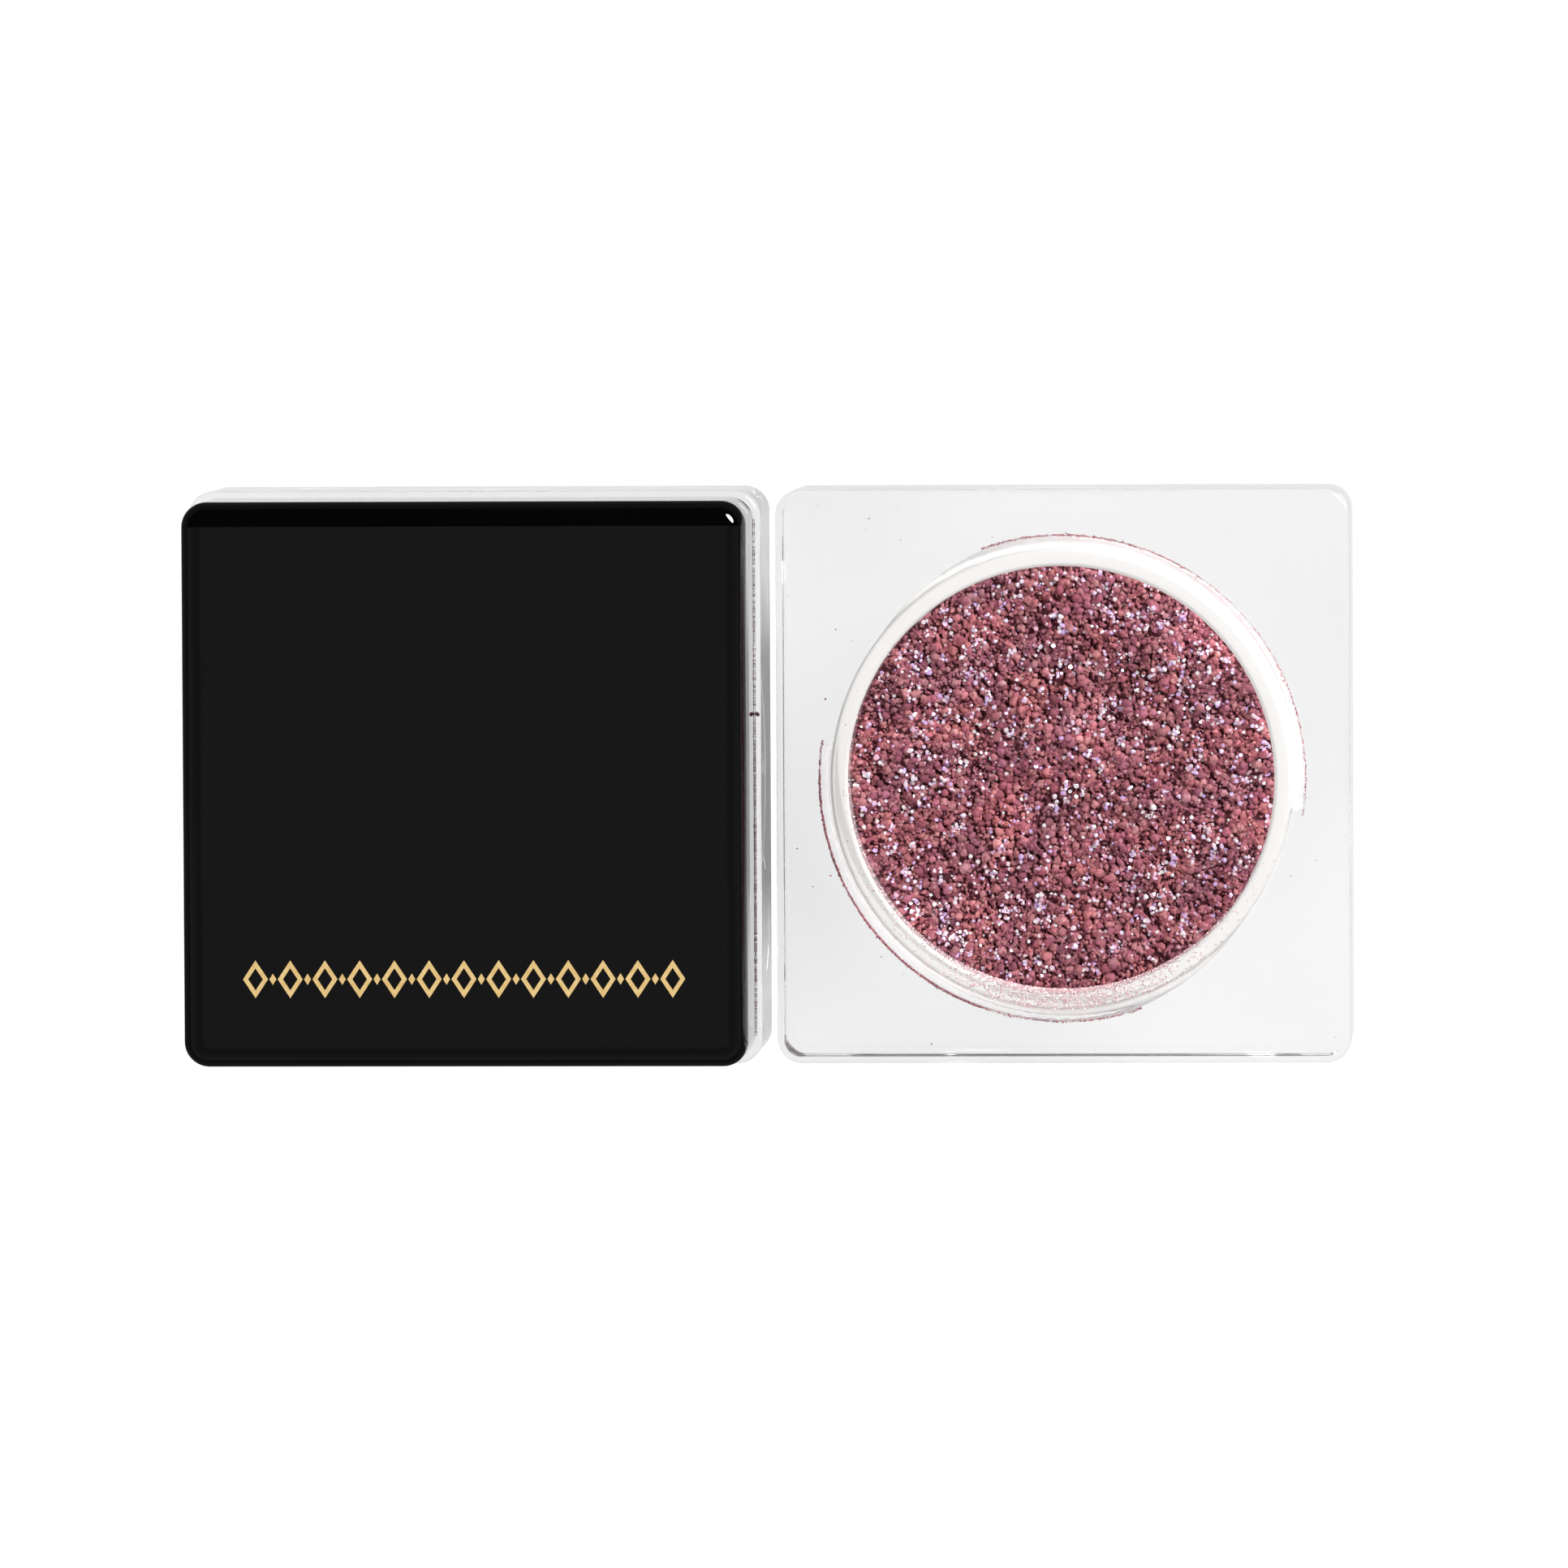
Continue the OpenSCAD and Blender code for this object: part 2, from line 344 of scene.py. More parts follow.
def skin(name, rings):
    """A closed mesh piece from a stack of rings with the same number of points, each (outline, z)."""
    count = len(rings[0][0])
    verts = []
    for outline, z in rings:
        verts.append(np.column_stack([outline, np.full(count, float(z))]))
    verts = np.concatenate(verts)
    faces = []
    for k in range(len(rings) - 1):
        a, b = k * count, (k + 1) * count
        for i in range(count):
            j = (i + 1) % count
            faces.append((a + i, a + j, b + j, b + i))
    faces.append(tuple(reversed(range(count))))
    last = (len(rings) - 1) * count
    faces.append(tuple(range(last, last + count)))
    mesh = bpy.data.meshes.new(name)
    mesh.from_pydata(verts.tolist(), [], faces)
    bm = bmesh.new()
    bm.from_mesh(mesh)
    bmesh.ops.remove_doubles(bm, verts=bm.verts, dist=1e-7)
    bmesh.ops.recalc_face_normals(bm, faces=bm.faces)
    bm.to_mesh(mesh)
    bm.free()
    obj = bpy.data.objects.new(name, mesh)
    bpy.context.scene.collection.objects.link(obj)
    return obj


def smooth(obj, sharp_degrees=40):
    """Smooth shading that keeps real edges crisp and flat faces flat."""
    obj.data.shade_smooth()
    obj.data.set_sharp_from_angle(angle=math.radians(sharp_degrees))
    mod = obj.modifiers.new("weighted_normals", "WEIGHTED_NORMAL")
    mod.keep_sharp = True


def place(obj, jar, body, node, mat):
    """Puts a piece built round the Z axis on a jar's centre line and ties it to the frame."""
    obj.location = JAR_CENTRE[jar]
    obj.data.materials.append(mat)
    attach(obj, body)
    if node:
        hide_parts(node)
    return obj


def build_block(jar, mat):
    """Acrylic block with rounded corners and edges and a round pocket."""
    outer = square_outline(BLOCK_HALF, BLOCK_CORNER)
    angles = np.arctan2(outer[:, 1], outer[:, 0])
    pocket_r = CUP_OUTER_R + SEAT_GAP
    rings = []
    for inset, drop in edge_round(BLOCK_EDGE, math.pi / 2, 0):
        rings.append((square_outline(BLOCK_HALF - inset, BLOCK_CORNER - inset), drop))
    for inset, drop in edge_round(BLOCK_EDGE, 0, math.pi / 2):
        rings.append((square_outline(BLOCK_HALF - inset, BLOCK_CORNER - inset), BLOCK_TOP - drop))
    for inset, drop in edge_round(POCKET_ROUND, math.pi / 2, 0, 4):
        rings.append((circle_outline(pocket_r + inset, angles), BLOCK_TOP - drop))
    rings.append((circle_outline(pocket_r, angles), POCKET_Z))
    obj = skin(jar + "_block", rings)
    smooth(obj)
    return place(obj, jar, jar, jar + "_body", mat)


def thread_profile(angles, z):
    """How far the ridges stand out at each angle, for one height above the table."""
    out = np.zeros_like(angles)
    for start in range(THREAD_STARTS):
        turn = (angles - THREAD_FROM - 2 * math.pi * start / THREAD_STARTS) % (2 * math.pi)
        middle = BLOCK_TOP + THREAD_START_Z + THREAD_LEAD * turn / (2 * math.pi)
        share = np.clip((THREAD_SWEEP - turn) / THREAD_TAPER, 0, 1)
        blunt = np.clip(turn / math.radians(1.5), 0, 1)
        share = np.where(turn < THREAD_SWEEP, share * blunt, 0)
        width_share = THREAD_END_W + (1 - THREAD_END_W) * share
        half_root = THREAD_ROOT_W / 2 * width_share
        half_crest = THREAD_CREST_W / 2 * width_share
        flank = np.clip((half_root - np.abs(z - middle)) / (half_root - half_crest), 0, 1)
        flank = flank * flank * (3 - 2 * flank)
        out = np.maximum(out, THREAD_RIDGE * share * flank)
    return out


def build_cup(jar, mat):
    """Round cup with a floor, a rounded rim and a two-start thread round its neck."""
    angles = np.linspace(0, 2 * math.pi, CUP_POINTS + 1)[:-1]
    rings = [(circle_outline(CUP_OUTER_R * f, angles), POCKET_Z + CUP_REST) for f in (0.02, 0.985)]
    rings.append((circle_outline(CUP_OUTER_R, angles), POCKET_Z + 0.3 * MM))
    neck = np.linspace(BLOCK_TOP + 0.4 * MM, RIM_Z - RIM_ROUND, NECK_RINGS)
    for z in [BLOCK_TOP - 3 * MM, *neck]:
        radius = CUP_OUTER_R + thread_profile(angles, z)
        rings.append((circle_outline(radius, angles), z))
    for inset, drop in edge_round(RIM_ROUND, 0, math.pi / 2)[1:]:
        rings.append((circle_outline(CUP_OUTER_R - inset, angles), RIM_Z - drop))
    for inset, drop in edge_round(RIM_ROUND, math.pi / 2, 0):
        rings.append((circle_outline(CUP_INNER_R + inset, angles), RIM_Z - drop))
    floor_z = POCKET_Z + CUP_FLOOR
    for z in (POWDER_Z, floor_z + CUP_FLOOR_ROUND):
        rings.append((circle_outline(CUP_INNER_R, angles), z))
    for inset, drop in edge_round(CUP_FLOOR_ROUND, 0, math.pi / 2)[1:]:
        rings.append((circle_outline(CUP_INNER_R - inset, angles), floor_z + drop))
    rings.append((circle_outline(CUP_INNER_R * 0.02, angles), floor_z))
    obj = skin(jar + "_threaded_cup", rings)
    smooth(obj, 50)
    return place(obj, jar, jar, jar + "_cup", mat)


def build_lid(mat):
    """Glossy square shell, open below."""
    low, high = lid_low.z, lid_high.z
    inside = LID_HALF - LID_WALL
    outer = []
    for inset, drop in edge_round(LID_FOOT_ROUND, math.pi / 2, 0, 4):
        outer.append((square_outline(LID_HALF - inset, LID_ROUND - inset), low + drop))
    for inset, drop in edge_round(LID_ROUND, 0, math.pi / 2, 20):
        outer.append((square_outline(LID_HALF - inset, LID_ROUND - inset), high - drop))
    rings = outer[::-1]
    for inset, drop in edge_round(LID_FOOT_ROUND, math.pi / 2, 0, 4):
        rings.append((square_outline(inside + inset, LID_INSIDE_CORNER + inset), low + drop))
    rings.append((square_outline(inside, LID_INSIDE_CORNER), high - LID_TOP))
    obj = skin("lid_gloss_shell", rings)
    smooth(obj)
    return place(obj, "closed_jar", "lid", "lid_shell", mat)


# ---- pigment ----

# Grid cells across the bed, and the rows down its side.
BED_CELLS = 280
BED_SIDE_ROWS = 6
BED_R = CUP_INNER_R - 0.03 * MM
# Space between the bed's side and the cup's wall, where the wall crumbs lie.
WALL_CRUMB_ROOM = 0.2 * MM
# Number that sets the slow drift of tones over the powder.
TONE_FIELD = 31
GRAIN_COLOURS = np.array([
    (0.50, 0.155, 0.18), (0.57, 0.195, 0.215), (0.43, 0.12, 0.155), (0.63, 0.245, 0.245),
    (0.47, 0.15, 0.20), (0.55, 0.19, 0.195), (0.37, 0.105, 0.135), (0.67, 0.285, 0.29)])
PLUM = np.array((0.35, 0.55, 0.85))
FLAKE_COLOURS = np.array([
    (1.0, 0.90, 0.97), (0.90, 0.68, 0.98), (1.0, 0.80, 0.88), (0.76, 0.52, 0.92),
    (1.0, 0.95, 0.98), (0.92, 0.56, 0.72), (0.90, 0.80, 1.0)])


def disc_points(cells):
    """A square grid bent into a disc of radius 1, so that its border is a clean circle."""
    side = np.linspace(-1, 1, cells + 1)
    u, v = np.meshgrid(side, side, indexing="xy")
    big, small = np.where(np.abs(u) > np.abs(v), u, v), np.where(np.abs(u) > np.abs(v), v, u)
    angle = np.where(big == 0, 0, math.pi / 4 * small / np.where(big == 0, 1, big))
    x = np.where(np.abs(u) > np.abs(v), big * np.cos(angle), big * np.sin(angle))
    y = np.where(np.abs(u) > np.abs(v), big * np.sin(angle), big * np.cos(angle))
    return np.stack([x.ravel(), y.ravel()], 1)


def lumps(xy, rng, wavelength, count=24):
    """A smooth random surface between about -1 and 1."""
    total = np.zeros(len(xy))
    for _ in range(count):
        direction = rng.uniform(0, 2 * math.pi)
        wave = 2 * math.pi / (wavelength * rng.uniform(0.6, 1.6))
        along = xy @ (math.cos(direction), math.sin(direction))
        total += np.sin(wave * along + rng.uniform(0, 2 * math.pi))
    return total / math.sqrt(count)


def scatter_disc(rng, count, radius):
    """Points spread evenly over a disc."""
    r = radius * np.sqrt(rng.uniform(0, 1, count))
    a = rng.uniform(0, 2 * math.pi, count)
    return np.stack([r * np.cos(a), r * np.sin(a)], 1)


def tones(rng, xy, field, spread):
    """Grain colours for the given spots. They drift from warm pink to plum over several millimetres."""
    drift = lumps(xy, np.random.default_rng(field), 7 * MM)
    shade = 1 + 0.10 * drift + rng.uniform(-spread, spread, len(xy))
    tint = GRAIN_COLOURS[rng.integers(0, len(GRAIN_COLOURS), len(xy))] * shade[:, None]
    plum = np.clip(0.5 - 0.5 * lumps(xy, np.random.default_rng(field + 1), 5 * MM), 0, 1)[:, None]
    return tint * (1 - 0.35 * plum * (1 - PLUM))


def powder_bed(rng):
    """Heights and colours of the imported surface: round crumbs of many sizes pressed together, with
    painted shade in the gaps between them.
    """
    xy = disc_points(BED_CELLS) * BED_R
    heights = POWDER_Z + 0.28 * MM * lumps(xy, rng, 11 * MM) + 0.14 * MM * lumps(xy, rng, 3.2 * MM)
    base = heights.copy()
    # Points that no crumb covers lie in the gaps between crumbs; a quarter of the darkest grain colour
    # there is painted shade.
    colours = np.tile(GRAIN_COLOURS[2] * 0.25, (len(xy), 1))
    tree = kdtree.KDTree(len(xy))
    for i, (x, y) in enumerate(xy):
        tree.insert((x, y, 0), i)
    tree.balance()
    heights -= 0.25 * MM
    for size_low, size_high, count in ((0.45, 0.9, 500), (0.24, 0.45, 5200), (0.16, 0.26, 5200)):
        spots = scatter_disc(rng, count, BED_R)
        radii = rng.uniform(size_low, size_high, count) * MM / 2
        for (x, y), r, tone in zip(spots, radii, tones(rng, spots, TONE_FIELD, 0.2)):
            found = tree.find_range((x, y, 0), r)
            if not found:
                continue
            index = np.array([f[1] for f in found])
            distance = np.array([f[2] for f in found])
            cap = base[index[0]] - 0.62 * r + np.sqrt(np.maximum(r * r - distance * distance, 0)) * 1.15
            higher = cap > heights[index]
            heights[index[higher]] = cap[higher]
            colours[index[higher]] = tone
    heights += rng.normal(0, 0.02 * MM, len(xy))
    return xy, heights, colours


def mesh_with_grain(name, verts, faces, colours):
    """A mesh whose points carry the grain colour."""
    mesh = bpy.data.meshes.new(name)
    mesh.from_pydata(verts.tolist(), [], faces)
    layer = mesh.color_attributes.new("grain", "FLOAT_COLOR", "POINT")
    layer.data.foreach_set("color", np.column_stack([colours, np.ones(len(colours))]).ravel())
    return mesh


def bed_mesh(name, rng):
    """The bed as a closed body: granular top, a plain side behind the wall crumbs, darkened as painted
    shade, and a flat foot.
    """
    xy, heights, colours = powder_bed(rng)
    n = BED_CELLS + 1
    index = np.arange(n * n).reshape(n, n)
    quads = np.stack([index[:-1, :-1], index[:-1, 1:], index[1:, 1:], index[1:, :-1]], -1).reshape(-1, 4)
    border = np.concatenate([index[0, :-1], index[:-1, -1], index[-1, :0:-1], index[:0:-1, 0]])
    verts = [np.column_stack([xy, heights])]
    tints = [colours]
    faces = [tuple(q) for q in quads.tolist()]
    ring = border
    count = len(border)
    for k in range(1, BED_SIDE_ROWS + 1):
        t = k / BED_SIDE_ROWS
        z = heights[border] * (1 - t) + POWDER_FLOOR * t
        verts.append(np.column_stack([xy[border] * (1 - WALL_CRUMB_ROOM / BED_R), z]))
        # The side is half the darkest grain colour: painted shade in the narrow gap behind the wall
        # crumbs.
        tints.append(np.tile(GRAIN_COLOURS[2] * 0.5, (count, 1)))
        start = n * n + (k - 1) * count
        fresh = np.arange(start, start + count)
        for i in range(count):
            j = (i + 1) % count
            faces.append((int(ring[j]), int(ring[i]), int(fresh[i]), int(fresh[j])))
        ring = fresh
    faces.append(tuple(int(i) for i in ring))
    mesh = mesh_with_grain(name, np.concatenate(verts), faces, np.concatenate(tints))
    bm = bmesh.new()
    bm.from_mesh(mesh)
    bmesh.ops.recalc_face_normals(bm, faces=bm.faces)
    bm.to_mesh(mesh)
    bm.free()
    mesh.shade_smooth()
    return mesh, xy, heights


def crumb_shape(level):
    """A unit icosphere as arrays of points and faces."""
    bm = bmesh.new()
    bmesh.ops.create_icosphere(bm, subdivisions=level, radius=1)
    points = np.array([v.co[:] for v in bm.verts])
    faces = np.array([[v.index for v in f.verts] for f in bm.faces])
    bm.free()
    return points, faces


def random_turns(rng, count):
    """Random rotation matrices from random unit quaternions."""
    q = rng.normal(size=(count, 4))
    q /= np.linalg.norm(q, axis=1, keepdims=True)
    w, x, y, z = q.T
    return np.stack([
        np.stack([1 - 2 * (y * y + z * z), 2 * (x * y - z * w), 2 * (x * z + y * w)], -1),
        np.stack([2 * (x * y + z * w), 1 - 2 * (x * x + z * z), 2 * (y * z - x * w)], -1),
        np.stack([2 * (x * z - y * w), 2 * (y * z + x * w), 1 - 2 * (x * x + y * y)], -1)], 1)


def crumbs_mesh(name, rng, centres, sizes, level, colours):
    """Many rough crumbs in one mesh."""
    points, faces = crumb_shape(level)
    count = len(centres)
    wobble = 1 + rng.uniform(-0.28, 0.28, (count, len(points)))
    stretch = rng.uniform(0.75, 1.2, (count, 1, 3))
    shapes = points[None] * wobble[:, :, None] * stretch
    shapes = np.einsum("nij,nkj->nki", random_turns(rng, count), shapes)
    verts = (shapes * sizes[:, None, None] / 2 + centres[:, None, :]).reshape(-1, 3)
    all_faces = (faces[None] + (np.arange(count) * len(points))[:, None, None]).reshape(-1, 3)
    tints = np.repeat(colours, len(points), axis=0)
    mesh = mesh_with_grain(name, verts, all_faces.tolist(), tints)
    if level > 1:
        mesh.shade_smooth()
    return mesh


def flakes_mesh(name, rng, centres, sizes, tilt, colours):
    """Thin six-sided glitter flakes, each tilted a little its own way."""
    count = len(centres)
    corner = np.arange(6) * math.pi / 3
    disc = np.stack([np.cos(corner), np.sin(corner), np.zeros(6)], 1)
    thick = 0.08
    shape = np.concatenate([disc + (0, 0, thick), disc - (0, 0, thick)])
    faces = [tuple(range(6)), tuple(reversed(range(6, 12)))]
    faces += [(i, i + 6, (i + 1) % 6 + 6, (i + 1) % 6) for i in range(6)]
    lean = np.abs(rng.normal(0, tilt, count))
    way = rng.uniform(0, 2 * math.pi, count)
    spin = rng.uniform(0, 2 * math.pi, count)
    c, s = np.cos(lean), np.sin(lean)
    kx, ky = np.cos(way), np.sin(way)
    turn = np.stack([
        np.stack([c + kx * kx * (1 - c), kx * ky * (1 - c), ky * s], -1),
        np.stack([kx * ky * (1 - c), c + ky * ky * (1 - c), -kx * s], -1),
        np.stack([-ky * s, kx * s, c], -1)], 1)
    cs, ss = np.cos(spin), np.sin(spin)
    spun = np.stack([
        shape[None, :, 0] * cs[:, None] - shape[None, :, 1] * ss[:, None],
        shape[None, :, 0] * ss[:, None] + shape[None, :, 1] * cs[:, None],
        np.broadcast_to(shape[None, :, 2], (count, 12))], -1)
    verts = np.einsum("nij,nkj->nki", turn, spun) * sizes[:, None, None] / 2 + centres[:, None, :]
    all_faces = [tuple(i + 12 * k for i in f) for k in range(count) for f in faces]
    return mesh_with_grain(name, verts.reshape(-1, 3), all_faces, np.repeat(colours, 12, axis=0))


def clustered(rng, clusters, each, spread, radius):
    """Points gathered in random clusters inside a disc."""
    heart = scatter_disc(rng, clusters, radius)
    points = np.repeat(heart, each, axis=0) + rng.normal(0, spread, (clusters * each, 2))
    return points[np.hypot(points[:, 0], points[:, 1]) < radius]


def nearest(xy, points):
    """For each spot, the number of the closest bed point."""
    tree = kdtree.KDTree(len(xy))
    for i, (x, y) in enumerate(xy):
        tree.insert((x, y, 0), i)
    tree.balance()
    return np.array([tree.find((x, y, 0))[1] for x, y in points])


def crumb_lot(rng, xy, heights, lot):
    """One lot of loose crumbs resting on the bed."""
    name, level, clusters, each, spread, loose, low, high, sink = lot
    points = np.concatenate([clustered(rng, clusters, each, spread * MM, BED_R - high / 2 * MM),
                             scatter_disc(rng, loose, BED_R - high / 2 * MM)])
    sizes = rng.uniform(low, high, len(points)) * MM
    centres = np.column_stack([points, heights[nearest(xy, points)] + sizes * (0.5 - sink)])
    return crumbs_mesh(name, rng, centres, sizes, level, tones(rng, points, TONE_FIELD, 0.25))


def crystal_lot(rng, xy, heights):
    """Bright faceted glitter crystals, single and in small clusters."""
    reach = BED_R - 0.3 * MM
    points = np.concatenate([clustered(rng, 150, 4, 0.22 * MM, reach), scatter_disc(rng, 420, reach)])
    sizes = 0.2 * MM + 0.36 * MM * rng.beta(1.3, 3, len(points))
    z = heights[nearest(xy, points)] + sizes * 0.4 + rng.uniform(0, 0.12, len(points)) * MM
    centres = np.column_stack([points, z])
    tint = FLAKE_COLOURS[rng.integers(0, len(FLAKE_COLOURS), len(points))]
    return crumbs_mesh("glitter_crystals", rng, centres, sizes, 1, tint)


def flake_lot(rng, xy, heights):
    """Thin glitter flakes in drifts."""
    reach = BED_R - 0.2 * MM
    points = np.concatenate([clustered(rng, 170, 8, 0.22 * MM, reach), scatter_disc(rng, 800, reach)])
    sizes = rng.uniform(0.14, 0.38, len(points)) * MM
    z = heights[nearest(xy, points)] + sizes * 0.4 + rng.uniform(0, 0.14, len(points)) * MM
    centres = np.column_stack([points, z])
    tint = FLAKE_COLOURS[rng.integers(0, len(FLAKE_COLOURS), len(points))]
    return flakes_mesh("glitter_flakes", rng, centres, sizes, math.radians(26), tint)


def wall_lot(rng, name, count, low, high, tint):
    """Grains pressed flat against the cup's inner wall, which are seen through it from the side."""
    angle = rng.uniform(-math.pi, math.pi, count)
    z = rng.uniform(POWDER_FLOOR + WALL_CRUMB_ROOM, POWDER_Z - 0.25 * MM, count)
    sizes = rng.uniform(low, high, count) * MM
    radius = BED_R - sizes * rng.uniform(0.2, 0.5, count)
    centres = np.column_stack([radius * np.cos(angle), radius * np.sin(angle), z])
    around = np.column_stack([BED_R * angle, z])
    mesh = crumbs_mesh(name, rng, centres, sizes, 1, tint(rng, around))
    co = np.empty(len(mesh.vertices) * 3)
    mesh.vertices.foreach_get("co", co)
    co = co.reshape(-1, 3)
    reach = np.hypot(co[:, 0], co[:, 1])
    co[:, :2] *= np.minimum(1, BED_R / reach)[:, None]
    co[:, 2] = np.maximum(co[:, 2], POWDER_FLOOR + 0.02 * MM)
    mesh.vertices.foreach_set("co", co.ravel())
    mesh.update()
    return mesh


def wall_crumb_tint(rng, around):
    """Powder tones for grains at the wall."""
    return tones(rng, around, TONE_FIELD, 0.3)


def wall_glitter_tint(rng, around):
    """Glitter tints for grains at the wall."""
    return FLAKE_COLOURS[rng.integers(0, len(FLAKE_COLOURS), len(around))]


# name, level, clusters, crumbs in each, spread mm, loose crumbs, smallest mm, largest mm, share sunk in
CRUMB_LOTS = (
    ("powder_clumps", 2, 70, 12, 0.6, 500, 0.36, 0.78, 0.45),
    ("powder_crumbs", 1, 320, 14, 0.6, 3400, 0.16, 0.4, 0.3))


def powder_meshes(rng):
    """Every mesh of one fill of pigment, round the Z axis."""
    bed, xy, heights = bed_mesh("powder_bed", rng)
    crumbs = [crumb_lot(rng, xy, heights, lot) for lot in CRUMB_LOTS]
    crumbs.append(wall_lot(rng, "wall_crumbs", 8600, 0.26, 0.52, wall_crumb_tint))
    glitter = [crystal_lot(rng, xy, heights), flake_lot(rng, xy, heights)]
    glitter.append(wall_lot(rng, "wall_glitter", 900, 0.16, 0.36, wall_glitter_tint))
    return bed, crumbs, glitter


def add_piece(name, mesh):
    """A mesh as an object of its own in the scene."""
    obj = bpy.data.objects.new(name, mesh)
    bpy.context.scene.collection.objects.link(obj)
    return obj


def build_powder(jar, turn, meshes, powder_mat, flake_mat):
    """Puts a fill of pigment in a cup, turned its own way."""
    bed, crumbs, glitter = meshes
    pieces = [(bed, jar + "_pigment", powder_mat)]
    pieces += [(mesh, None, powder_mat) for mesh in crumbs]
    pieces += [(mesh, None, flake_mat) for mesh in glitter]
    for mesh, node, mat in pieces:
        turned = mesh.copy()
        turned.transform(Matrix.Rotation(math.radians(turn), 4, "Z"))
        place(add_piece(jar + "_" + mesh.name, turned), jar, jar, node, mat)


# ---- stray powder ----

def along_thread(rng, start, from_turn, to_turn, count):
    """Spots on the crest of one ridge, between two angles measured from its blunt end."""
    turn = rng.uniform(math.radians(from_turn), math.radians(to_turn), count)
    angle = THREAD_FROM + math.pi * start + turn
    radius = CUP_OUTER_R + THREAD_RIDGE + rng.normal(0.02, 0.05, count) * MM
    climb = THREAD_LEAD * turn / (2 * math.pi)
    z = BLOCK_TOP + THREAD_START_Z + climb + rng.uniform(-0.1, 0.32, count) * MM
    return np.column_stack([radius * np.cos(angle), radius * np.sin(angle), z])


def inside_neck(rng, from_angle, to_angle, count):
    """Spots on the inner wall and the rim, over an arc."""
    angle = np.radians(rng.normal((from_angle + to_angle) / 2, (to_angle - from_angle) / 4, count))
    climb = rng.uniform(0, 1, count)
    z = POWDER_Z + (RIM_Z - POWDER_Z) * np.minimum(1, climb * 1.6)
    radius = CUP_INNER_R + np.maximum(0, climb * 1.6 - 1) / 0.6 * CUP_WALL
    return np.column_stack([radius * np.cos(angle), radius * np.sin(angle), z])


def on_block_top(rng, count):
    """Spots scattered on the flat of the block round the neck."""
    spots = rng.uniform(-BLOCK_HALF + 1 * MM, BLOCK_HALF - 1 * MM, (count, 2))
    spots = spots[np.hypot(spots[:, 0], spots[:, 1]) > CUP_OUTER_R + THREAD_RIDGE]
    return np.column_stack([spots, np.full(len(spots), BLOCK_TOP + 0.01 * MM)])


def build_dust(mat, flake_mat):
    """Pigment caught on the open jar's thread and rim, and specks on top of both blocks."""
    rng = np.random.default_rng(5)
    spots = np.concatenate([
        along_thread(rng, 1, 0, 118, 1800), along_thread(rng, 1, 8, 80, 2600),
        along_thread(rng, 0, 0, 118, 1000), along_thread(rng, 0, 70, 118, 500)])
    sizes = 0.04 * MM + 0.18 * MM * rng.beta(1.2, 4, len(spots))
    tint = tones(rng, spots[:, :2], TONE_FIELD, 0.2) * 0.9
    mesh = crumbs_mesh("thread_dust", rng, spots, sizes, 1, tint)
    place(add_piece("open_jar_thread_dust", mesh), "open_jar", "open_jar", None, mat)
    spots = np.concatenate([inside_neck(rng, -120, -55, 2600), inside_neck(rng, -175, -20, 1200)])
    sizes = rng.uniform(0.05, 0.16, len(spots)) * MM
    tint = np.array((0.92, 0.66, 0.68)) * rng.uniform(0.85, 1.08, (len(spots), 1))
    mesh = crumbs_mesh("rim_dust", rng, spots, sizes, 1, tint)
    place(add_piece("open_jar_rim_dust", mesh), "open_jar", "open_jar", None, flake_mat)
    for jar, count in (("open_jar", 70), ("closed_jar", 40)):
        spots = on_block_top(rng, count)
        sizes = rng.uniform(0.04, 0.16, len(spots)) * MM
        mesh = crumbs_mesh("specks", rng, spots, sizes, 1, tones(rng, spots[:, :2], TONE_FIELD, 0.2))
        place(add_piece(jar + "_specks", mesh), jar, jar, None, mat)


def build_seam_dust_and_shade(mat):
    """Pigment gathered on the closed jar's ledge, along the foot of the lid, with one larger crumb. Its
    colour is darkened to a third as painted shade of the gap at the lid's foot.
    """
    rng = np.random.default_rng(9)
    count = 2400
    even, heap = rng.uniform(-0.9, 0.9, count // 2), rng.normal(-0.3, 0.3, count // 2)
    y = np.concatenate([even, heap]) * BLOCK_HALF
    keep = np.abs(y) < LID_HALF - 1.5 * MM
    x = LID_HALF + (0.03 + np.abs(rng.normal(0.0, 0.03, count))) * MM
    spots = np.column_stack([x, y, BLOCK_TOP + rng.uniform(0.03, 0.12, count) * MM])[keep]
    sizes = rng.uniform(0.04, 0.09, len(spots)) * MM
    crumb = (LID_HALF + 0.26 * MM, 5.05 * MM, BLOCK_TOP + 0.1 * MM)
    spots = np.vstack([spots, crumb])
    sizes = np.append(sizes, 0.36 * MM)
    # Darkened to a third: real mauve dust plus painted shade in the gap under the lid's foot.
    tint = tones(rng, spots[:, :2], TONE_FIELD, 0.2) * 0.32
    mesh = crumbs_mesh("seam_dust_and_shade", rng, spots, sizes, 1, tint)
    place(add_piece("closed_jar_seam_dust_and_shade", mesh), "closed_jar", "closed_jar", None, mat)


# ---- floor, light and camera ----

# Half sizes of the part of the table that glossy walls reflect as lit.
PATCH_X = JAR_CENTRE["open_jar"].x + BLOCK_HALF + 2 * MM
PATCH_Y = BLOCK_HALF + 2 * MM
TABLE_GLOW = 1.09
# How much less of the glow is seen through clear plastic.
TABLE_GLOW_LOST = 0.18


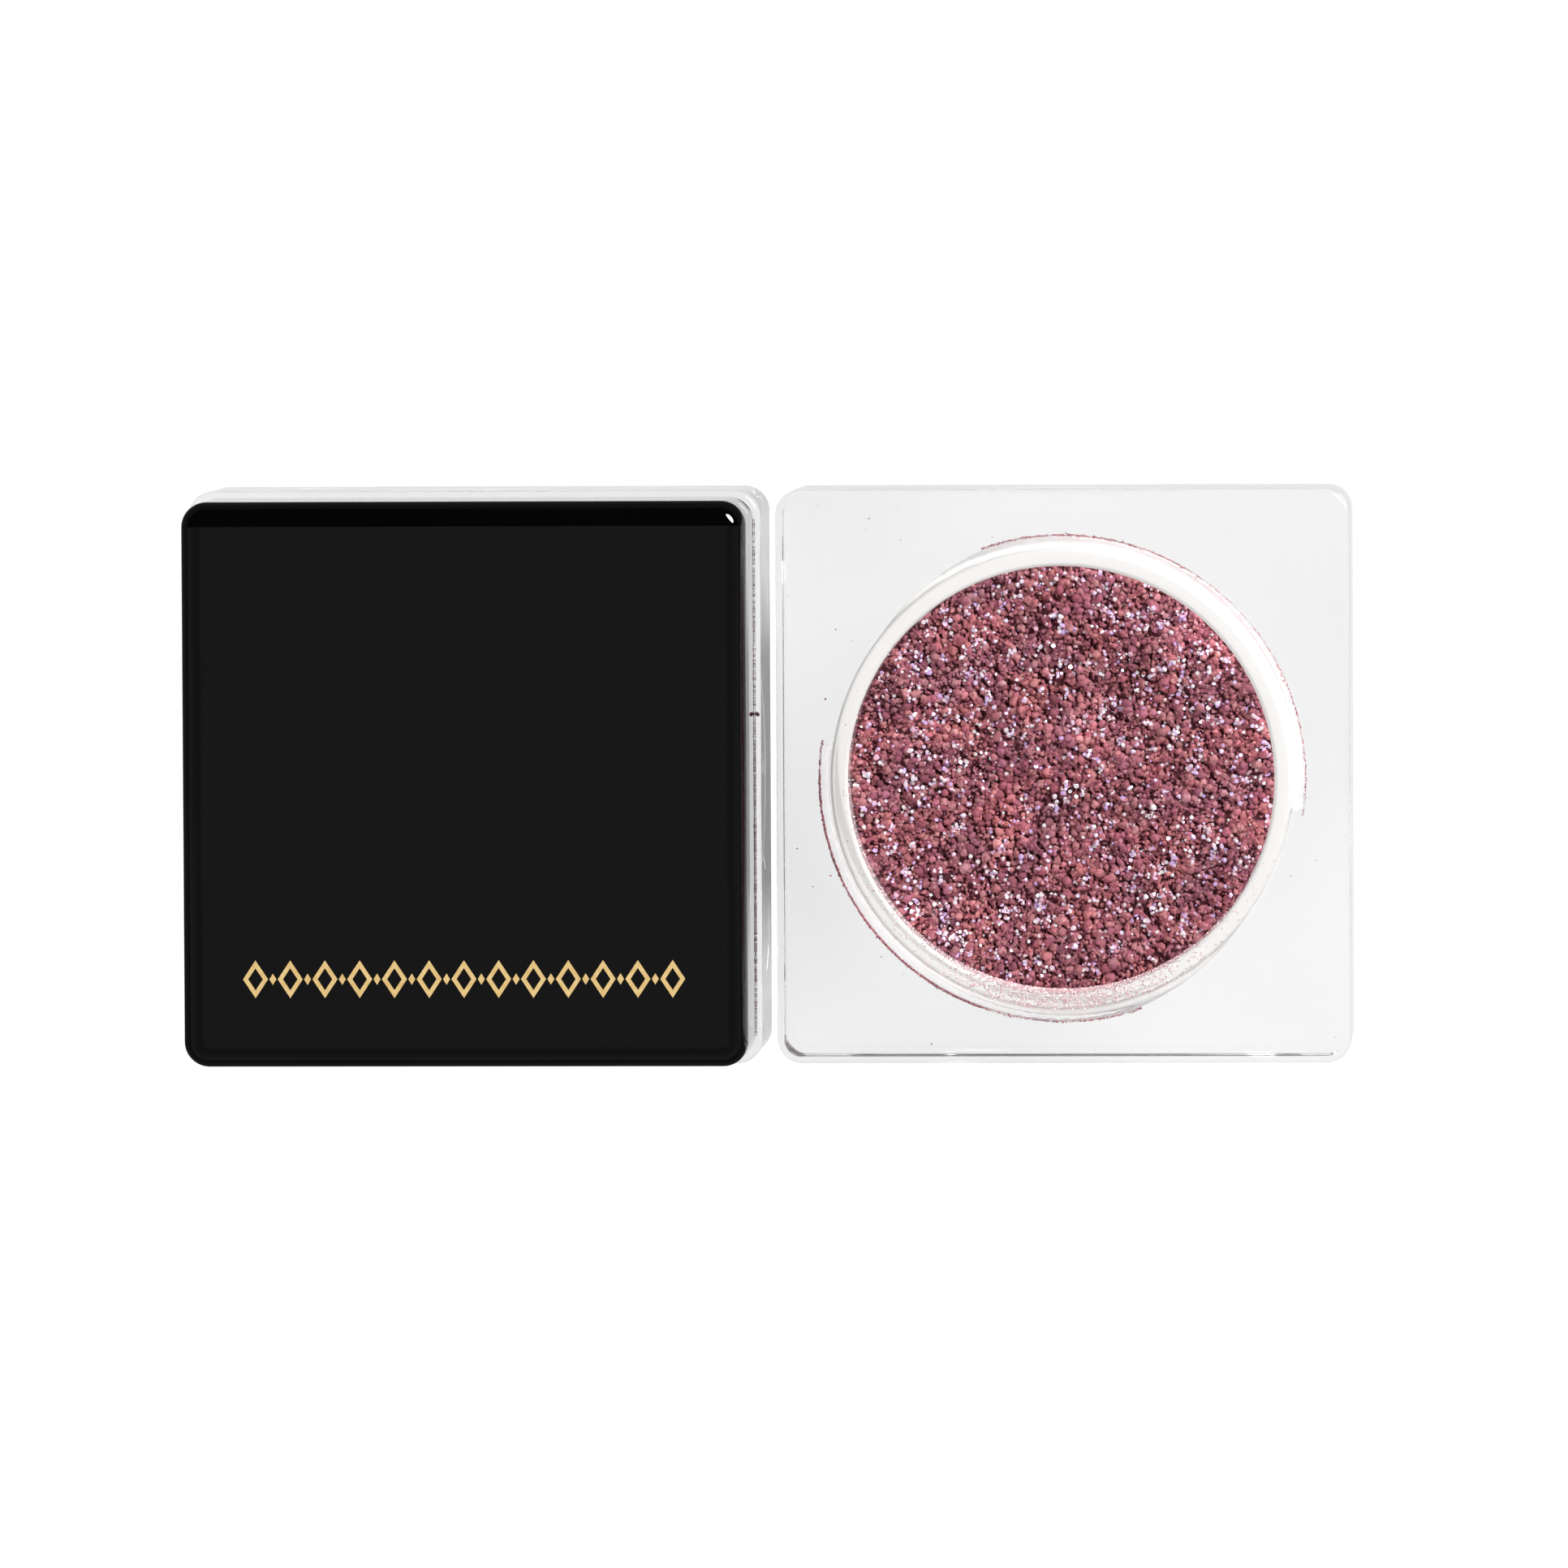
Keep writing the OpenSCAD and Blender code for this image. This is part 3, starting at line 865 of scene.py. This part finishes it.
def reflected_table(nodes, links):
    """Painted light and shade that the table shows only in reflections: painted light round the jars,
    painted shade between them, dark beyond.
    """
    coords = nodes.new("ShaderNodeTexCoord")
    split = nodes.new("ShaderNodeSeparateXYZ")
    links.new(coords.outputs["Object"], split.inputs["Vector"])
    from_x = math_node(nodes, links, "ABSOLUTE", split.outputs["X"])
    from_y = math_node(nodes, links, "ABSOLUTE", split.outputs["Y"])
    over_x = math_node(nodes, links, "SUBTRACT", from_x, PATCH_X)
    over_y = math_node(nodes, links, "SUBTRACT", from_y, PATCH_Y)
    over = math_node(nodes, links, "MAXIMUM", over_x, over_y)
    lit = map_range(nodes, links, over, (0, 8 * MM), (0.9, 0.03))
    # Painted shade in the gap between the jars, deepest between the cups, seen only in reflections.
    in_gap = map_range(nodes, links, from_x, (0.7 * MM, 1.8 * MM), (1, 0))
    between_cups = map_range(nodes, links, from_y, (9 * MM, 16 * MM), (0.6, 0.1))
    shade = math_node(nodes, links, "MULTIPLY", in_gap, between_cups)
    return math_node(nodes, links, "MULTIPLY", lit, math_node(nodes, links, "SUBTRACT", 1.0, shade))


def build_floor():
    """A plain white table that glows softly, as a lit studio table does; in reflections it shows the
    painted light and shade of reflected_table.
    """
    bpy.ops.mesh.primitive_circle_add(vertices=96, radius=4, fill_type="NGON", location=(0, 0, -0.0001))
    floor = bpy.context.object
    floor.name = "studio_table"
    mat = bpy.data.materials.new("studio_table")
    mat.use_nodes = True
    nodes, links = mat.node_tree.nodes, mat.node_tree.links
    shader = nodes["Principled BSDF"]
    shader.inputs["Base Color"].default_value = (0.9, 0.9, 0.9, 1)
    shader.inputs["Roughness"].default_value = 0.9
    shader.inputs["Specular IOR Level"].default_value = 0.0
    path = nodes.new("ShaderNodeLightPath")
    through = path.outputs["Is Transmission Ray"]
    mirrored = math_node(nodes, links, "SUBTRACT", path.outputs["Is Glossy Ray"], through)
    mirrored = math_node(nodes, links, "MAXIMUM", mirrored, 0.0)
    plain = math_node(nodes, links, "MULTIPLY_ADD", through, -TABLE_GLOW_LOST, TABLE_GLOW)
    level = nodes.new("ShaderNodeMix")
    links.new(mirrored, level.inputs["Factor"])
    links.new(plain, level.inputs["A"])
    links.new(reflected_table(nodes, links), level.inputs["B"])
    glow = nodes.new("ShaderNodeEmission")
    links.new(level.outputs["Result"], glow.inputs["Strength"])
    mix = nodes.new("ShaderNodeMixShader")
    mix.inputs["Fac"].default_value = 0.97
    links.new(shader.outputs["BSDF"], mix.inputs[1])
    links.new(glow.outputs["Emission"], mix.inputs[2])
    links.new(mix.outputs["Shader"], nodes["Material Output"].inputs["Surface"])
    floor.data.materials.append(mat)


def build_world():
    """Dim studio all round, softly lit overhead, dark at the back; the camera itself sees plain white."""
    world = bpy.data.worlds.new("studio")
    bpy.context.scene.world = world
    world.use_nodes = True
    nodes, links = world.node_tree.nodes, world.node_tree.links
    background = nodes["Background"]
    coords = nodes.new("ShaderNodeTexCoord")
    split = nodes.new("ShaderNodeSeparateXYZ")
    links.new(coords.outputs["Generated"], split.inputs["Vector"])
    heights = [(0.0, grey(0.2)), (0.80, grey(0.12)), (0.955, grey(0.2)), (1.0, grey(0.205))]
    sky = ramp(nodes, links, split.outputs["Z"], heights)
    low = math_node(nodes, links, "MULTIPLY_ADD", split.outputs["Z"], -0.01, split.outputs["Y"])
    back = ramp(nodes, links, low, [(0.0, grey(1.0)), (0.04, grey(0.06))])
    dimmed = nodes.new("ShaderNodeMix")
    dimmed.data_type = "RGBA"
    dimmed.blend_type = "MULTIPLY"
    dimmed.inputs["Factor"].default_value = 1.0
    links.new(sky, dimmed.inputs["A"])
    links.new(back, dimmed.inputs["B"])
    path = nodes.new("ShaderNodeLightPath")
    through = path.outputs["Is Transmission Ray"]
    clear = math_node(nodes, links, "MULTIPLY_ADD", through, 0.6, path.outputs["Is Camera Ray"])
    seen = nodes.new("ShaderNodeMix")
    seen.data_type = "RGBA"
    links.new(clear, seen.inputs["Factor"])
    links.new(dimmed.outputs["Result"], seen.inputs["A"])
    seen.inputs["B"].default_value = (1, 1, 1, 1)
    links.new(seen.outputs["Result"], background.inputs["Color"])


def softbox(name, azimuth, elevation, distance, width, height, power):
    """An oval softbox that faces the jars."""
    data = bpy.data.lights.new(name, "AREA")
    data.shape = "ELLIPSE"
    data.size = width
    data.size_y = height
    data.energy = power
    lamp = bpy.data.objects.new(name, data)
    a, e = math.radians(azimuth), math.radians(elevation)
    lamp.location = distance * Vector((math.cos(a) * math.cos(e), math.sin(a) * math.cos(e), math.sin(e)))
    lamp.rotation_euler = lamp.location.to_track_quat("Z", "Y").to_euler()
    bpy.context.scene.collection.objects.link(lamp)
    return lamp


def build_camera():
    """A long lens almost straight above, a little to the back right."""
    data = bpy.data.cameras.new("camera")
    data.sensor_width = 36
    data.lens = 328.6
    data.clip_start = 0.01
    data.clip_end = 50
    camera = bpy.data.objects.new("camera", data)
    camera.location = (0.06660, 0.05711, 1.15736)
    camera.rotation_euler = (-0.05058, 0.05686, -0.00485)
    bpy.context.scene.collection.objects.link(camera)
    bpy.context.scene.camera = camera


def finish_lid_nodes():
    """Materials for the lid's nodes that keep their CAD shape."""
    for node, mat in (("lid_liner", liner_plastic()), ("lid_seal", seal_foam()),
                      ("lid_ornament", foil_gold())):
        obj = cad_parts[node]
        obj.data.materials.clear()
        obj.data.materials.append(mat)


def build_jars():
    """Both jars with their cups and pigment, and the closed one's lid."""
    acrylic = clear_plastic("clear_acrylic", (0.93, 0.93, 0.935), 1.49, 0.97, 0.015)
    cup_clear = cup_plastic()
    powder = pigment_powder()
    flakes = glitter_flakes()
    fill_meshes = powder_meshes(np.random.default_rng(7))
    for jar, turn in (("open_jar", 0), ("closed_jar", 130)):
        build_block(jar, acrylic)
        build_cup(jar, cup_clear)
        build_powder(jar, turn, fill_meshes, powder, flakes)
    build_dust(powder, flakes)
    build_seam_dust_and_shade(powder)
    build_lid(lid_gloss())
    finish_lid_nodes()


def main():
    """Sets up the view and the studio, and builds the jars."""
    bpy.context.scene.view_settings.view_transform = "Standard"
    build_camera()
    build_floor()
    build_world()
    softbox("key_softbox", 40, 30, 0.9, 0.7, 0.26, 13)
    fill = softbox("fill_softbox", 215, 48, 1.1, 0.6, 0.6, 9)
    fill.visible_glossy = False
    build_jars()


main()
